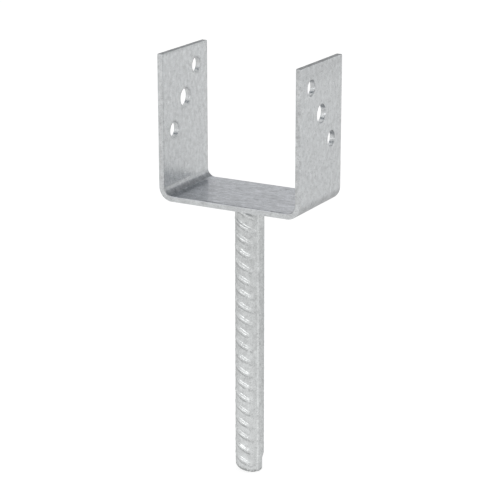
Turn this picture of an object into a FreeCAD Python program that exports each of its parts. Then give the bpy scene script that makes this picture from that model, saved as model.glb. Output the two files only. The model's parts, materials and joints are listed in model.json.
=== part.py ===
import FreeCAD, Part
import math
import os

import Sketcher

from FreeCAD import Placement, Rotation, Vector

# Timber post base for a 100 mm post, in millimetres.
#
# A strip of flat steel is bent into a U-shaped saddle that holds the foot of the post between two legs.
# A ribbed reinforcing bar is welded under the middle of the saddle and is cast into the footing.
#
# Frame: the origin is the middle of the saddle's underside, on the axis of the bar. +Z points up towards
# the post, X runs across the post from leg to leg, and Y runs along the width of the strip.

# Driving sizes: alias, value, meaning. The values reach the features through expressions.
SIZES = [
    ("post_gap", 101.0, "clear width between the legs: a 100 mm post and 1 mm of play"),
    ("strip_width", 60.0, "width of the flat steel"),
    ("strip_thick", 4.0, "thickness of the flat steel"),
    ("saddle_height", 102.0, "from the underside to the top of the legs"),
    ("bend_inner", 6.0, "inner radius of the two bends"),
    ("corner_round", 0.8, "rounded upper corners of the legs"),
    ("edge_break", 0.4, "chamfer that stands for the strip's edges, softened by rolling and zinc"),
    ("bolt_hole", 13.0, "diameter of the hole for an M12 through bolt"),
    ("bolt_height", 67.0, "height of the bolt hole above the underside"),
    ("screw_hole", 11.0, "diameter of the coach screw holes"),
    ("screw_aside", 15.0, "sideways step from the bolt hole to a screw hole"),
    ("screw_above", 20.0, "upward or downward step from the bolt hole to a screw hole"),
    ("bar_diameter", 20.0, "core of the bar, between the ribs"),
    ("bar_length", 198.8, "from the saddle to the middle of the sheared end"),
    ("row_turn", 6.0, "turn of the rib rows about the bar, clockwise from above, in degrees"),
    ("seam_width", 4.4, "foot of the two ribs that run along the bar"),
    ("seam_crown", 2.8, "top of the two ribs that run along the bar"),
    ("seam_height", 0.6, "height of the two ribs that run along the bar"),
    ("rib_height", 1.25, "height of a crescent rib at its middle"),
    ("rib_crown", 0.9, "width of a crescent rib along its top"),
    ("rib_flank", 52.0, "slope of a crescent rib's flanks, in degrees"),
    ("rib_shift", 0.85, "how far the rib's arc is centred off the bar, which makes its ends die out"),
    ("rib_reach", 75.0, "half the arc that is swept for a rib, in degrees, past where it dies out"),
    ("rib_root", 1.8, "depth of a rib's root below its crest"),
    ("rib_tilt", 25.0, "slope of the ribs, falling to the right, in degrees"),
    ("rib_pitch", 9.7, "distance from rib to rib along the bar"),
    ("first_rib", 6.0, "depth of the first rib of the front row below the saddle"),
    ("shear_tilt", 8.0, "slant of the sheared end, in degrees"),
    ("shear_round", 1.6, "edge rolled over by the shear"),
    ("weld_leg", 5.0, "leg length of the fillet weld"),
]
RIBS_PER_ROW = 20
SHEAR_CLEARANCE = 4.0  # how far the shearing cut runs past the bar, each way

document = FreeCAD.newDocument("timber_post_base")


def write_sizes():
    """Puts the driving sizes into a sheet: meaning in column A, value in column B under its alias."""
    sheet = document.addObject("Spreadsheet::Sheet", "Sizes")
    for row, (alias, value, meaning) in enumerate(SIZES, start=1):
        sheet.set("A%d" % row, meaning)
        sheet.set("B%d" % row, str(value))
        sheet.setAlias("B%d" % row, alias)
    document.recompute()
    return sheet


def new_body(name):
    body = document.addObject("PartDesign::Body", name)
    body.Label = name
    return body


def origin_feature(body, role):
    """The body's own plane or axis of that role, such as XY_Plane or Z_Axis."""
    return next(feature for feature in body.Origin.OriginFeatures if feature.Role == role)


def new_sketch(body, name, plane):
    sketch = body.newObject("Sketcher::SketchObject", name)
    sketch.AttachmentSupport = [(origin_feature(body, plane), "")]
    sketch.MapMode = "FlatFace"
    return sketch


def hold(sketch, name, expression, *constraint):
    """Adds a named dimension to the sketch and binds it to the sheet."""
    index = sketch.addConstraint(Sketcher.Constraint(*constraint))
    sketch.renameConstraint(index, name)
    sketch.setExpression("Constraints." + name, expression)


def draw_outline(sketch, corners):
    """Draws a closed outline of straight lines through the corners and joins their ends."""
    count = len(corners)
    for i in range(count):
        start = Vector(*corners[i], 0)
        end = Vector(*corners[(i + 1) % count], 0)
        sketch.addGeometry(Part.LineSegment(start, end), False)
    for i in range(count):
        sketch.addConstraint(Sketcher.Constraint("Coincident", i, 2, (i + 1) % count, 1))


def new_feature(body, kind, name, profile=None):
    feature = body.newObject("PartDesign::" + kind, name)
    if profile is not None:
        feature.Profile = profile
        profile.Visibility = False
    return feature


def sharp_edges(shape, least_angle=30.0):
    """Names of the edges where two faces meet at an angle, leaving out seams and smooth joins."""
    names = []
    for number, edge in enumerate(shape.Edges, start=1):
        faces = shape.ancestorsOfType(edge, Part.Face)
        if len(faces) != 2:
            continue
        middle = edge.valueAt((edge.FirstParameter + edge.LastParameter) / 2)
        normals = [face.normalAt(*face.Surface.parameter(middle)) for face in faces]
        if math.degrees(normals[0].getAngle(normals[1])) > least_angle:
            names.append("Edge%d" % number)
    return names


def draw_saddle_section(sketch, sheet):
    """The U of the bent strip, seen along the strip's width, with its outline closed by the leg tops."""
    outer_x = sheet.post_gap / 2 + sheet.strip_thick
    inner_x = sheet.post_gap / 2
    outer_bend = sheet.bend_inner + sheet.strip_thick
    centre_x = outer_x - outer_bend
    top = sheet.saddle_height

    def line(x1, y1, x2, y2):
        return sketch.addGeometry(Part.LineSegment(Vector(x1, y1, 0), Vector(x2, y2, 0)), False)

    def bend(x, radius, start):
        circle = Part.Circle(Vector(x, outer_bend, 0), Vector(0, 0, 1), radius)
        return sketch.addGeometry(Part.ArcOfCircle(circle, start, start + math.pi / 2), False)

    left_out = line(-outer_x, top, -outer_x, outer_bend)
    left_out_bend = bend(-centre_x, outer_bend, math.pi)
    under = line(-centre_x, 0, centre_x, 0)
    right_out_bend = bend(centre_x, outer_bend, 1.5 * math.pi)
    right_out = line(outer_x, outer_bend, outer_x, top)
    right_top = line(outer_x, top, inner_x, top)
    right_in = line(inner_x, top, inner_x, outer_bend)
    right_in_bend = bend(centre_x, sheet.bend_inner, 1.5 * math.pi)
    seat = line(centre_x, sheet.strip_thick, -centre_x, sheet.strip_thick)
    left_in_bend = bend(-centre_x, sheet.bend_inner, math.pi)
    left_in = line(-inner_x, outer_bend, -inner_x, top)
    left_top = line(-inner_x, top, -outer_x, top)

    start, end, centre = 1, 2, 3
    smooth_joins = [
        (left_out, end, left_out_bend, start),
        (left_out_bend, end, under, start),
        (under, end, right_out_bend, start),
        (right_out_bend, end, right_out, start),
        (right_in, end, right_in_bend, end),
        (right_in_bend, start, seat, start),
        (seat, end, left_in_bend, end),
        (left_in_bend, start, left_in, start),
    ]
    corner_joins = [
        (right_out, end, right_top, start),
        (right_top, end, right_in, start),
        (left_in, end, left_top, start),
        (left_top, end, left_out, start),
        (right_out_bend, centre, right_in_bend, centre),
        (left_out_bend, centre, left_in_bend, centre),
    ]
    for join in smooth_joins:
        sketch.addConstraint(Sketcher.Constraint("Tangent", *join))
    for join in corner_joins:
        sketch.addConstraint(Sketcher.Constraint("Coincident", *join))
    for level in (under, right_top, left_top):
        sketch.addConstraint(Sketcher.Constraint("Horizontal", level))
    for upright in (left_out, right_out, right_in, left_in):
        sketch.addConstraint(Sketcher.Constraint("Vertical", upright))
    x_axis, y_axis = -1, -2
    sketch.addConstraint(Sketcher.Constraint("PointOnObject", under, start, x_axis))
    sketch.addConstraint(Sketcher.Constraint("Symmetric", left_in, end, right_in, start, y_axis))
    sketch.addConstraint(Sketcher.Constraint("Equal", left_in_bend, right_in_bend))
    sketch.addConstraint(Sketcher.Constraint("Equal", left_top, right_top))
    hold(sketch, "gap", "Sizes.post_gap", "DistanceX", left_in, end, right_in, start, sheet.post_gap)
    hold(sketch, "height", "Sizes.saddle_height", "DistanceY", x_axis, start, right_in, start, top)
    thick = sheet.strip_thick
    hold(sketch, "thick", "Sizes.strip_thick", "DistanceX", right_top, end, right_top, start, thick)
    hold(sketch, "bend", "Sizes.bend_inner", "Radius", right_in_bend, sheet.bend_inner)


def draw_hole(sketch, name, place, cells, diameter_alias, sheet):
    """A round hole at a place (across, up) from the sketch's origin, bound to cells in place and size."""
    across, up = place
    across_cell, up_cell = cells
    diameter = sheet.get(diameter_alias)
    circle = sketch.addGeometry(Part.Circle(Vector(across, up, 0), Vector(0, 0, 1), diameter / 2), False)
    origin, centre, y_axis = (-1, 1), (circle, 3), -2
    if across == 0:
        sketch.addConstraint(Sketcher.Constraint("PointOnObject", *centre, y_axis))
    elif across > 0:
        hold(sketch, name + "_across", across_cell, "DistanceX", *origin, *centre, across)
    else:
        hold(sketch, name + "_across", across_cell, "DistanceX", *centre, *origin, -across)
    hold(sketch, name + "_up", up_cell, "DistanceY", *origin, *centre, up)
    hold(sketch, name + "_size", "Sizes." + diameter_alias, "Diameter", circle, diameter)


def make_saddle(sheet):
    """The strip bent into a U, with its corners and edges softened and both legs drilled."""
    body = new_body("saddle")

    section = new_sketch(body, "saddle_section", "XZ_Plane")
    draw_saddle_section(section, sheet)
    strip = new_feature(body, "Pad", "bent_strip", section)
    strip.SideType = "Symmetric"
    strip.setExpression("Length", "Sizes.strip_width")
    document.recompute()

    corners = new_feature(body, "Fillet", "leg_corners")
    corners.Base = (strip, leg_corner_edges(strip.Shape, sheet))
    corners.setExpression("Radius", "Sizes.corner_round")
    document.recompute()

    softened = new_feature(body, "Chamfer", "soft_edges")
    softened.Base = (corners, sharp_edges(corners.Shape))
    softened.setExpression("Size", "Sizes.edge_break")
    document.recompute()

    # The bolt hole is drilled straight through both legs.
    bolt_sketch = new_sketch(body, "bolt_hole_sketch", "YZ_Plane")
    draw_hole(bolt_sketch, "bolt", (0, sheet.bolt_height), (None, "Sizes.bolt_height"), "bolt_hole", sheet)
    bolt_holes = new_feature(body, "Pocket", "bolt_holes", bolt_sketch)
    bolt_holes.SideType = "Symmetric"
    bolt_holes.Type = "ThroughAll"

    # Screw holes lie on a diagonal of the left leg. A half turn about the bar gives those of the right leg,
    # on the opposite diagonal, so that screws from the two sides miss each other inside the post.
    screw_sketch = new_sketch(body, "screw_hole_sketch", "YZ_Plane")
    for name, way, sign in (("upper", 1, "+"), ("lower", -1, "-")):
        place = (way * sheet.screw_aside, sheet.bolt_height + way * sheet.screw_above)
        cells = ("Sizes.screw_aside", "Sizes.bolt_height %s Sizes.screw_above" % sign)
        draw_hole(screw_sketch, name, place, cells, "screw_hole", sheet)
    screw_holes = new_feature(body, "Pocket", "left_screw_holes", screw_sketch)
    screw_holes.Type = "ThroughAll"

    both_legs = new_feature(body, "PolarPattern", "screw_holes_of_both_legs")
    both_legs.Originals = [screw_holes]
    both_legs.Axis = (origin_feature(body, "Z_Axis"), [""])
    both_legs.Occurrences = 2
    body.Tip = both_legs
    document.recompute()
    return body


def leg_corner_edges(shape, sheet):
    """The four edges that run through the strip's thickness at the tops of the legs."""
    names = []
    for number, edge in enumerate(shape.Edges, start=1):
        box = edge.BoundBox
        through_strip = abs(box.XLength - sheet.strip_thick) < 0.01 and box.YLength < 0.01
        if through_strip and abs(box.ZMin - sheet.saddle_height) < 0.01:
            names.append("Edge%d" % number)
    return names


def make_rib_row(body, sheet, name, side, depth, depth_cell):
    """A row of crescent ribs down one side of the bar: side is -1 for the front row and 1 for the back row.

    Each rib is an arc of a flat-topped ring. The ring is centred off the bar's axis, towards the row, so the
    rib is highest in the middle of its row and dies into the core at both ends. It is tilted about the line
    that points at the row. Both rows tilt the same way round, so the bar looks the same after a half turn.
    """
    sketch = new_sketch(body, name + "_sketch", "YZ_Plane")
    sketch.AttachmentOffset = Placement(Vector(0, -depth, 0), Rotation(Vector(-side, 0, 0), sheet.rib_tilt))
    sketch.setExpression("AttachmentOffset.Base.y", "-(%s)" % depth_cell)
    sketch.setExpression("AttachmentOffset.Rotation.Angle", "Sizes.rib_tilt")

    crest = sheet.bar_diameter / 2 + sheet.rib_height
    root = crest - sheet.rib_root
    half_crown = sheet.rib_crown / 2
    half_foot = half_crown + sheet.rib_root / math.tan(math.radians(sheet.rib_flank))
    draw_outline(
        sketch,
        [
            (side * crest, half_crown),
            (side * crest, -half_crown),
            (side * root, -half_foot),
            (side * root, half_foot),
        ],
    )
    crown, foot = 0, 2
    axis_foot = Vector(side * sheet.rib_shift, -half_crown, 0)
    axis_head = Vector(side * sheet.rib_shift, half_crown, 0)
    axis = sketch.addGeometry(Part.LineSegment(axis_foot, axis_head), True)
    x_axis, y_axis, start, end = -1, -2, 1, 2
    sketch.addConstraint(Sketcher.Constraint("Symmetric", crown, start, crown, end, x_axis))
    sketch.addConstraint(Sketcher.Constraint("Symmetric", foot, start, foot, end, x_axis))
    sketch.addConstraint(Sketcher.Constraint("Symmetric", axis, start, axis, end, x_axis))
    crest_cell = "Sizes.bar_diameter / 2 + Sizes.rib_height"
    hold(sketch, "crest", crest_cell, "Distance", crown, start, y_axis, crest)
    hold(sketch, "root", "Sizes.rib_root", "Distance", foot, start, crown, sheet.rib_root)
    hold(sketch, "crown", "Sizes.rib_crown", "DistanceY", crown, end, crown, start, sheet.rib_crown)
    foot_cell = "Sizes.rib_crown + 2 * Sizes.rib_root / tan(Sizes.rib_flank * 1 deg)"
    hold(sketch, "foot", foot_cell, "DistanceY", foot, start, foot, end, 2 * half_foot)
    hold(sketch, "shift", "Sizes.rib_shift", "Distance", axis, start, y_axis, sheet.rib_shift)
    hold(sketch, "axis_length", "Sizes.rib_crown", "DistanceY", axis, start, axis, end, sheet.rib_crown)

    rib = new_feature(body, "Revolution", name + "_rib", sketch)
    rib.ReferenceAxis = (sketch, ["Axis0"])
    rib.Midplane = True
    rib.setExpression("Angle", "2 * Sizes.rib_reach")
    document.recompute()

    row = new_feature(body, "LinearPattern", name)
    row.Originals = [rib]
    row.Direction = (origin_feature(body, "Z_Axis"), [""])
    row.Reversed = True
    row.Mode = "Spacing"
    row.setExpression("Offset", "Sizes.rib_pitch")
    row.Occurrences = RIBS_PER_ROW
    body.Tip = row
    document.recompute()


def make_anchor_bar(sheet):
    """Ribbed reinforcing bar: round core, two ribs along it, two rows of crescent ribs and a sheared end."""
    body = new_body("anchor_bar")
    radius = sheet.bar_diameter / 2

    core_sketch = new_sketch(body, "core_sketch", "XY_Plane")
    circle = core_sketch.addGeometry(Part.Circle(Vector(0, 0, 0), Vector(0, 0, 1), radius), False)
    core_sketch.addConstraint(Sketcher.Constraint("Coincident", circle, 3, -1, 1))
    hold(core_sketch, "diameter", "Sizes.bar_diameter", "Diameter", circle, sheet.bar_diameter)
    core = new_feature(body, "Pad", "core", core_sketch)
    core.Reversed = True
    core.setExpression("Length", "Sizes.bar_length + %g" % SHEAR_CLEARANCE)
    document.recompute()

    make_seam_ribs(body, sheet)
    make_rib_row(body, sheet, "front_row", -1, sheet.first_rib, "Sizes.first_rib")
    lower = sheet.first_rib + sheet.rib_pitch / 2
    make_rib_row(body, sheet, "back_row", 1, lower, "Sizes.first_rib + Sizes.rib_pitch / 2")
    make_sheared_end(body, sheet)

    body.Placement = Placement(Vector(0, 0, 0), Rotation(Vector(0, 0, -1), sheet.row_turn))
    body.setExpression("Placement.Rotation.Angle", "Sizes.row_turn")
    return body


def make_seam_ribs(body, sheet):
    """Two low ribs along the whole bar, between the two rows of crescents."""
    radius = sheet.bar_diameter / 2
    sketch = new_sketch(body, "seam_sketch", "XY_Plane")
    half_foot = sheet.seam_width / 2
    half_crown = sheet.seam_crown / 2
    foot_x = radius - sheet.seam_height
    crown_x = radius + sheet.seam_height
    draw_outline(
        sketch,
        [(foot_x, -half_foot), (crown_x, -half_crown), (crown_x, half_crown), (foot_x, half_foot)],
    )
    foot, crown = 3, 1
    x_axis, y_axis, start, end = -1, -2, 1, 2
    sketch.addConstraint(Sketcher.Constraint("Symmetric", foot, start, foot, end, x_axis))
    sketch.addConstraint(Sketcher.Constraint("Symmetric", crown, start, crown, end, x_axis))
    foot_cell = "Sizes.bar_diameter / 2 - Sizes.seam_height"
    hold(sketch, "foot_x", foot_cell, "Distance", foot, start, y_axis, foot_x)
    crown_cell = "Sizes.bar_diameter / 2 + Sizes.seam_height"
    hold(sketch, "crown_x", crown_cell, "Distance", crown, start, y_axis, crown_x)
    hold(sketch, "foot", "Sizes.seam_width", "DistanceY", foot, end, foot, start, sheet.seam_width)
    hold(sketch, "crown", "Sizes.seam_crown", "DistanceY", crown, start, crown, end, sheet.seam_crown)

    seam = new_feature(body, "Pad", "seam_rib", sketch)
    seam.Reversed = True
    seam.setExpression("Length", "Sizes.bar_length + %g" % SHEAR_CLEARANCE)
    document.recompute()
    pair = new_feature(body, "PolarPattern", "seam_ribs")
    pair.Originals = [seam]
    pair.Axis = (origin_feature(body, "Z_Axis"), [""])
    pair.Occurrences = 2
    body.Tip = pair
    document.recompute()


def make_sheared_end(body, sheet):
    """Turns away all that lies beyond the slanted sheared face, and rolls the edge of that face over.

    The roll is two short slopes between the face and the side of the bar. The outer one runs on past the
    side, and takes the ribs back with it.
    """
    sketch = new_sketch(body, "shear_sketch", "XZ_Plane")
    sketch.AttachmentOffset = Placement(
        Vector(0, -sheet.bar_length, 0), Rotation(Vector(0, 0, -1), sheet.shear_tilt)
    )
    sketch.setExpression("AttachmentOffset.Base.y", "-Sizes.bar_length")
    sketch.setExpression("AttachmentOffset.Rotation.Angle", "Sizes.shear_tilt")
    radius = sheet.bar_diameter / 2
    third = sheet.shear_round / 3
    past = SHEAR_CLEARANCE
    draw_outline(
        sketch,
        [
            (0, 0),
            (radius - 3 * third, 0),
            (radius - third, third),
            (radius + past, third + 2 * (past + third)),
            (radius + past, -2 * past),
            (0, -2 * past),
        ],
    )
    face, roll, slope, side, floor, back = range(6)
    start, end = 1, 2
    sketch.addConstraint(Sketcher.Constraint("Coincident", face, start, -1, 1))
    for level in (face, floor):
        sketch.addConstraint(Sketcher.Constraint("Horizontal", level))
    for upright in (side, back):
        sketch.addConstraint(Sketcher.Constraint("Vertical", upright))
    face_end = "Sizes.bar_diameter / 2 - Sizes.shear_round"
    hold(sketch, "face", face_end, "DistanceX", face, start, face, end, radius - 3 * third)
    hold(sketch, "roll_across", "2 * Sizes.shear_round / 3", "DistanceX", roll, start, roll, end, 2 * third)
    hold(sketch, "roll_up", "Sizes.shear_round / 3", "DistanceY", roll, start, roll, end, third)
    run = past + third
    run_cell = "%g + Sizes.shear_round / 3" % past
    hold(sketch, "slope_across", run_cell, "DistanceX", slope, start, slope, end, run)
    hold(sketch, "slope_up", "2 * (%s)" % run_cell, "DistanceY", slope, start, slope, end, 2 * run)
    index = sketch.addConstraint(Sketcher.Constraint("DistanceY", back, start, back, end, 2 * past))
    sketch.renameConstraint(index, "below")

    groove = new_feature(body, "Groove", "sheared_end", sketch)
    groove.ReferenceAxis = (sketch, ["V_Axis"])
    groove.Angle = 360
    body.Tip = groove
    document.recompute()


def make_weld_bead(sheet, bar):
    """Fillet weld round the top of the bar, with the bar's own ribbed shape taken out of it."""
    body = new_body("weld_ring")
    radius = sheet.bar_diameter / 2
    leg = sheet.weld_leg
    sketch = new_sketch(body, "weld_sketch", "XZ_Plane")
    draw_outline(sketch, [(0, 0), (radius + leg, 0), (radius, -leg), (0, -leg)])
    top, bottom, back = 0, 2, 3
    start, end = 1, 2
    sketch.addConstraint(Sketcher.Constraint("Coincident", top, start, -1, 1))
    sketch.addConstraint(Sketcher.Constraint("Horizontal", top))
    sketch.addConstraint(Sketcher.Constraint("Horizontal", bottom))
    sketch.addConstraint(Sketcher.Constraint("Vertical", back))
    toe = "Sizes.bar_diameter / 2 + Sizes.weld_leg"
    hold(sketch, "toe", toe, "DistanceX", top, start, top, end, radius + leg)
    hold(sketch, "heel", "Sizes.bar_diameter / 2", "DistanceX", bottom, end, bottom, start, radius)
    hold(sketch, "leg", "Sizes.weld_leg", "DistanceY", back, start, back, end, leg)

    ring = new_feature(body, "Revolution", "weld_metal", sketch)
    ring.ReferenceAxis = (sketch, ["V_Axis"])
    ring.Angle = 360
    document.recompute()

    bead = document.addObject("Part::Cut", "weld_bead")
    bead.Label = "weld_bead"
    bead.Base = body
    bead.Tool = bar
    return bead


def check_document():
    """Stops if any object failed or any sketch is left loose."""
    for item in document.Objects:
        if "Invalid" in item.State or "Error" in item.State:
            raise RuntimeError("%s failed: %s" % (item.Name, item.State))
        if item.TypeId == "Sketcher::SketchObject" and not item.FullyConstrained:
            raise RuntimeError("%s is not fully constrained" % item.Name)


def export_parts(parts):
    """Writes each sub-part to its own file, named by its label."""
    os.makedirs("parts", exist_ok=True)
    for part in parts:
        shape = part.Shape
        if shape.isNull() or not shape.isValid() or len(shape.Solids) != 1:
            raise RuntimeError("%s has no sound single solid" % part.Label)
        shape.exportStep("parts/%s.step" % part.Label)
        print("%s: %.0f mm3, %d faces" % (part.Label, shape.Volume, len(shape.Faces)))


sizes = write_sizes()
saddle = make_saddle(sizes)
anchor_bar = make_anchor_bar(sizes)
weld_bead = make_weld_bead(sizes, anchor_bar)
document.recompute()
check_document()
export_parts([saddle, anchor_bar, weld_bead])
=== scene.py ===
import json
import math
from functools import partial

import bpy
import numpy as np
from bpy.props import FloatProperty, FloatVectorProperty, IntProperty, PointerProperty
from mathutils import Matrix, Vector, noise
from mathutils.geometry import delaunay_2d_cdt


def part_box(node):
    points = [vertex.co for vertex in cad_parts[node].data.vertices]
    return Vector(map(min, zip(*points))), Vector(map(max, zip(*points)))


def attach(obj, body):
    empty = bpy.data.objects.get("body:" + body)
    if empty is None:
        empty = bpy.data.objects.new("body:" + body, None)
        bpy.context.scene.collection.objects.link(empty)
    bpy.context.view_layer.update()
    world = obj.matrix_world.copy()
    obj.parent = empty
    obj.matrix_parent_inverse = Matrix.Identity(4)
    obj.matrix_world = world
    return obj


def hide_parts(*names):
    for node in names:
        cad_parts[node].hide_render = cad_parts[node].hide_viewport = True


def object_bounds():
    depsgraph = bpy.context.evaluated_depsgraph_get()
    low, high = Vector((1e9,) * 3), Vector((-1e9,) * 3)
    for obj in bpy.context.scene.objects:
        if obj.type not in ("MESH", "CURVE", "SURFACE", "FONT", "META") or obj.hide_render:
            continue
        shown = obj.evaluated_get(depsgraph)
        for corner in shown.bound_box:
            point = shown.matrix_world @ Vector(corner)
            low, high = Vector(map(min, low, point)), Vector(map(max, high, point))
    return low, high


# Timber post base: the looks of its bent saddle, its ribbed anchor bar and the weld between them.
#
# Lengths are in metres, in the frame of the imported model: +Z up, X from leg to leg, Y along the width of
# the strip, and the origin in the middle of the saddle's underside, on the axis of the bar.

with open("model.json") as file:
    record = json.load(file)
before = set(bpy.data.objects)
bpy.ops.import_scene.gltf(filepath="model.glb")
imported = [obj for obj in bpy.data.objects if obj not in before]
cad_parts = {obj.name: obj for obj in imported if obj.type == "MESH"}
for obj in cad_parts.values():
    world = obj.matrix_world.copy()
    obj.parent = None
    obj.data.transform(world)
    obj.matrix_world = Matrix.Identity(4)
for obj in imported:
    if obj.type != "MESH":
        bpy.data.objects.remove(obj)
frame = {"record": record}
CAD_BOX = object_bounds()

bl_info = {
    "name": "Timber Post Base",
    "version": (1, 0, 0),
    "blender": (4, 5, 0),
    "location": "3D View > Sidebar > Post Base",
    "description": "Builds a galvanised timber post base with a ribbed anchor bar, and its studio",
    "category": "Object",
}

MM = 0.001
BODY = "root"

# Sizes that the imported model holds.
SADDLE_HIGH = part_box("saddle")[1]
BAR_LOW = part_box("anchor_bar")[0]
WELD_LOW, WELD_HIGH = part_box("weld_bead")
MOUNTS = {mount["name"]: mount for mount in frame["record"]["mounts"]}
STRIP_THICK = MOUNTS["post_seat"]["pos_m"][2]


def linear(hex_colour):
    """Linear red, green, blue and alpha of an sRGB colour written as #RRGGBB."""
    levels = [int(hex_colour[i : i + 2], 16) / 255 for i in (1, 3, 5)]
    return [v / 12.92 if v <= 0.04045 else ((v + 0.055) / 1.055) ** 2.4 for v in levels] + [1.0]


def length(name, description, default):
    words = {"name": name, "description": description}
    return FloatProperty(**words, default=default, min=0, unit="LENGTH", precision=5)


def degrees(name, description, default):
    return FloatProperty(name=name, description=description, default=math.radians(default), subtype="ANGLE")


def colour(name, description, default):
    words = {"name": name, "description": description}
    return FloatVectorProperty(**words, default=linear(default), size=4, subtype="COLOR")


def number(name, description, default, least):
    return IntProperty(name=name, description=description, default=default, min=least)


class SaddleSettings(bpy.types.PropertyGroup):
    bend_inner: length("Inner bend radius", "Inner radius of the two bends of the strip", 6 * MM)
    corner_round: length("Corner radius", "Radius of the upper corners of the legs", 0.8 * MM)
    edge_round: length("Edge radius", "How far the strip's edges are rounded by rolling and zinc", 0.3 * MM)
    rim_round: length("Rim radius", "How far the rims of the holes are rounded", 0.25 * MM)
    mesh_step: length("Mesh step", "Distance between the points of the flat faces", 1.25 * MM)
    unevenness: length("Unevenness", "Depth of the gentle waves that the zinc leaves", 0.07 * MM)
    wave: length("Wave length", "Distance from one gentle wave to the next", 9 * MM)


class BarSettings(bpy.types.PropertyGroup):
    core_radius: length("Core radius", "Radius of the bar between its ribs", 10 * MM)
    row_turn: degrees("Row turn", "Turn of the rib rows about the bar, clockwise from above", 6.0)
    rib_height: length("Rib height", "Height of a crescent rib at its middle", 1.25 * MM)
    rib_crown: length("Rib crown", "How broadly the top of a crescent rib is rounded", 1.2 * MM)
    rib_flank: degrees("Rib flank", "Slope of the flanks of a crescent rib", 46.0)
    rib_shift: length("Rib shift", "How far a rib's arc is off the bar's axis, to fade its ends", 0.85 * MM)
    rib_tilt: degrees("Rib tilt", "Slope of the ribs, falling to the right", 25.0)
    rib_pitch: length("Rib pitch", "Distance from rib to rib along the bar", 9.7 * MM)
    first_rib: length("First rib", "Depth of the first rib of the front row below the saddle", 6 * MM)
    rib_count: number("Ribs", "Ribs in each row", 20, 1)
    root_round: length("Root softness", "How far the roots of the ribs are blended into the core", 0.9 * MM)
    seam_round: length("Seam softness", "How far the ribs that run along the bar are rounded", 0.2 * MM)
    seam_height: length("Seam height", "Height of the two ribs that run along the bar", 0.55 * MM)
    seam_crown: length("Seam crown", "Width of the top of the ribs that run along the bar", 6.6 * MM)
    seam_foot: length("Seam foot", "Width of the foot of the ribs that run along the bar", 8.2 * MM)
    shear_tilt: degrees("Shear tilt", "Slant of the sheared end", 8.0)
    shear_round: length("Shear round", "Mean radius of the edge that the shear rolled over", 1.6 * MM)
    shear_squeeze: length("Shear squeeze", "How far the shear pressed the end in on the right", 1.3 * MM)
    unevenness: length("Unevenness", "Depth of the dents and lumps left by rolling and zinc", 0.12 * MM)
    around: number("Points around", "Points of the mesh round the bar", 192, 24)
    along: number("Points along", "Points of the mesh along the bar", 480, 100)


class WeldSettings(bpy.types.PropertyGroup):
    bulge: length("Bulge", "How far the face of the weld stands out", 0.5 * MM)
    ripples: number("Ripples", "Ripples in the weld round the bar", 34, 3)
    ripple_depth: length("Ripple depth", "Depth of the ripples", 0.22 * MM)
    waver: length("Waver", "How far the toes of the weld waver", 0.7 * MM)
    around: number("Points around", "Points of the mesh round the weld", 288, 24)
    across: number("Points across", "Points of the mesh across the face of the weld", 16, 3)


class ZincSettings(bpy.types.PropertyGroup):
    strip_tone: colour("Strip zinc", "Zinc on the legs of the saddle", "#C7C9CA")
    # Darker than the strip's zinc, partly as painted shade on the seat.
    seat_tone: colour("Seat zinc", "Dull zinc on the seat between the legs", "#BFC1C5")
    bar_tone: colour("Bar zinc", "Zinc on the anchor bar", "#C9CBCB")
    weld_tone: colour("Weld zinc", "Zinc on the weld", "#BEC1C2")
    patch: length("Patch size", "Width of the mottled patches of the zinc", 3.5 * MM)
    crystal: length("Crystal size", "Width of the zinc crystals", 0.9 * MM)
    grain: length("Grain", "Width of the finest lumps of the zinc", 0.7 * MM)


class StageSettings(bpy.types.PropertyGroup):
    azimuth: degrees("Azimuth", "Turn of the camera round the object, to the right of its front", 28.97)
    elevation: degrees("Elevation", "Height of the camera above the horizon", 17.36)
    distance: length("Distance", "From the camera to the point that it looks at", 1.2442)
    aim_depth: length("Aim depth", "How far below the saddle the camera looks at the bar", 35.95 * MM)
    aim_aside: length("Aim aside", "How far to the right of the bar's axis the camera looks", 0.2 * MM)
    lens: FloatProperty(name="Lens", description="Focal length on a 36 mm sensor, in mm", default=129.13)
    floor: colour("Floor", "Pale studio floor", "#F2F2F0")


# Nodes.


def add_node(tree, kind, inputs=(), out=0, **settings):
    """Adds a node with its settings and gives back one of its outputs.

    The kind is the node's type or, in capitals, what a Math node works out. Inputs are a list, in the order
    of the sockets, or a dictionary by their names or numbers. Each is a socket to link or a value to set,
    and None leaves a socket alone.
    """
    node = tree.nodes.new("ShaderNodeMath" if kind.isupper() else kind)
    if kind.isupper():
        node.operation = kind
    for key, value in settings.items():
        setattr(node, key, value)
    pairs = inputs.items() if isinstance(inputs, dict) else enumerate(inputs)
    for key, value in pairs:
        if isinstance(value, bpy.types.NodeSocket):
            tree.links.new(value, node.inputs[key])
        elif value is not None:
            node.inputs[key].default_value = value
    return node.outputs[out] if node.outputs else None


def node_adder(owner):
    """Empties the nodes of a material or a world, and gives back add_node for its tree."""
    owner.use_nodes = True
    owner.node_tree.nodes.clear()
    return partial(add_node, owner.node_tree)


VECTOR_MATH = "ShaderNodeVectorMath"
MAP_RANGE = "ShaderNodeMapRange"
MIX = "ShaderNodeMix"
NOISE = "ShaderNodeTexNoise"


# Saddle: a flat strip with rounded edges and drilled holes, bent into a U.


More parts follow.
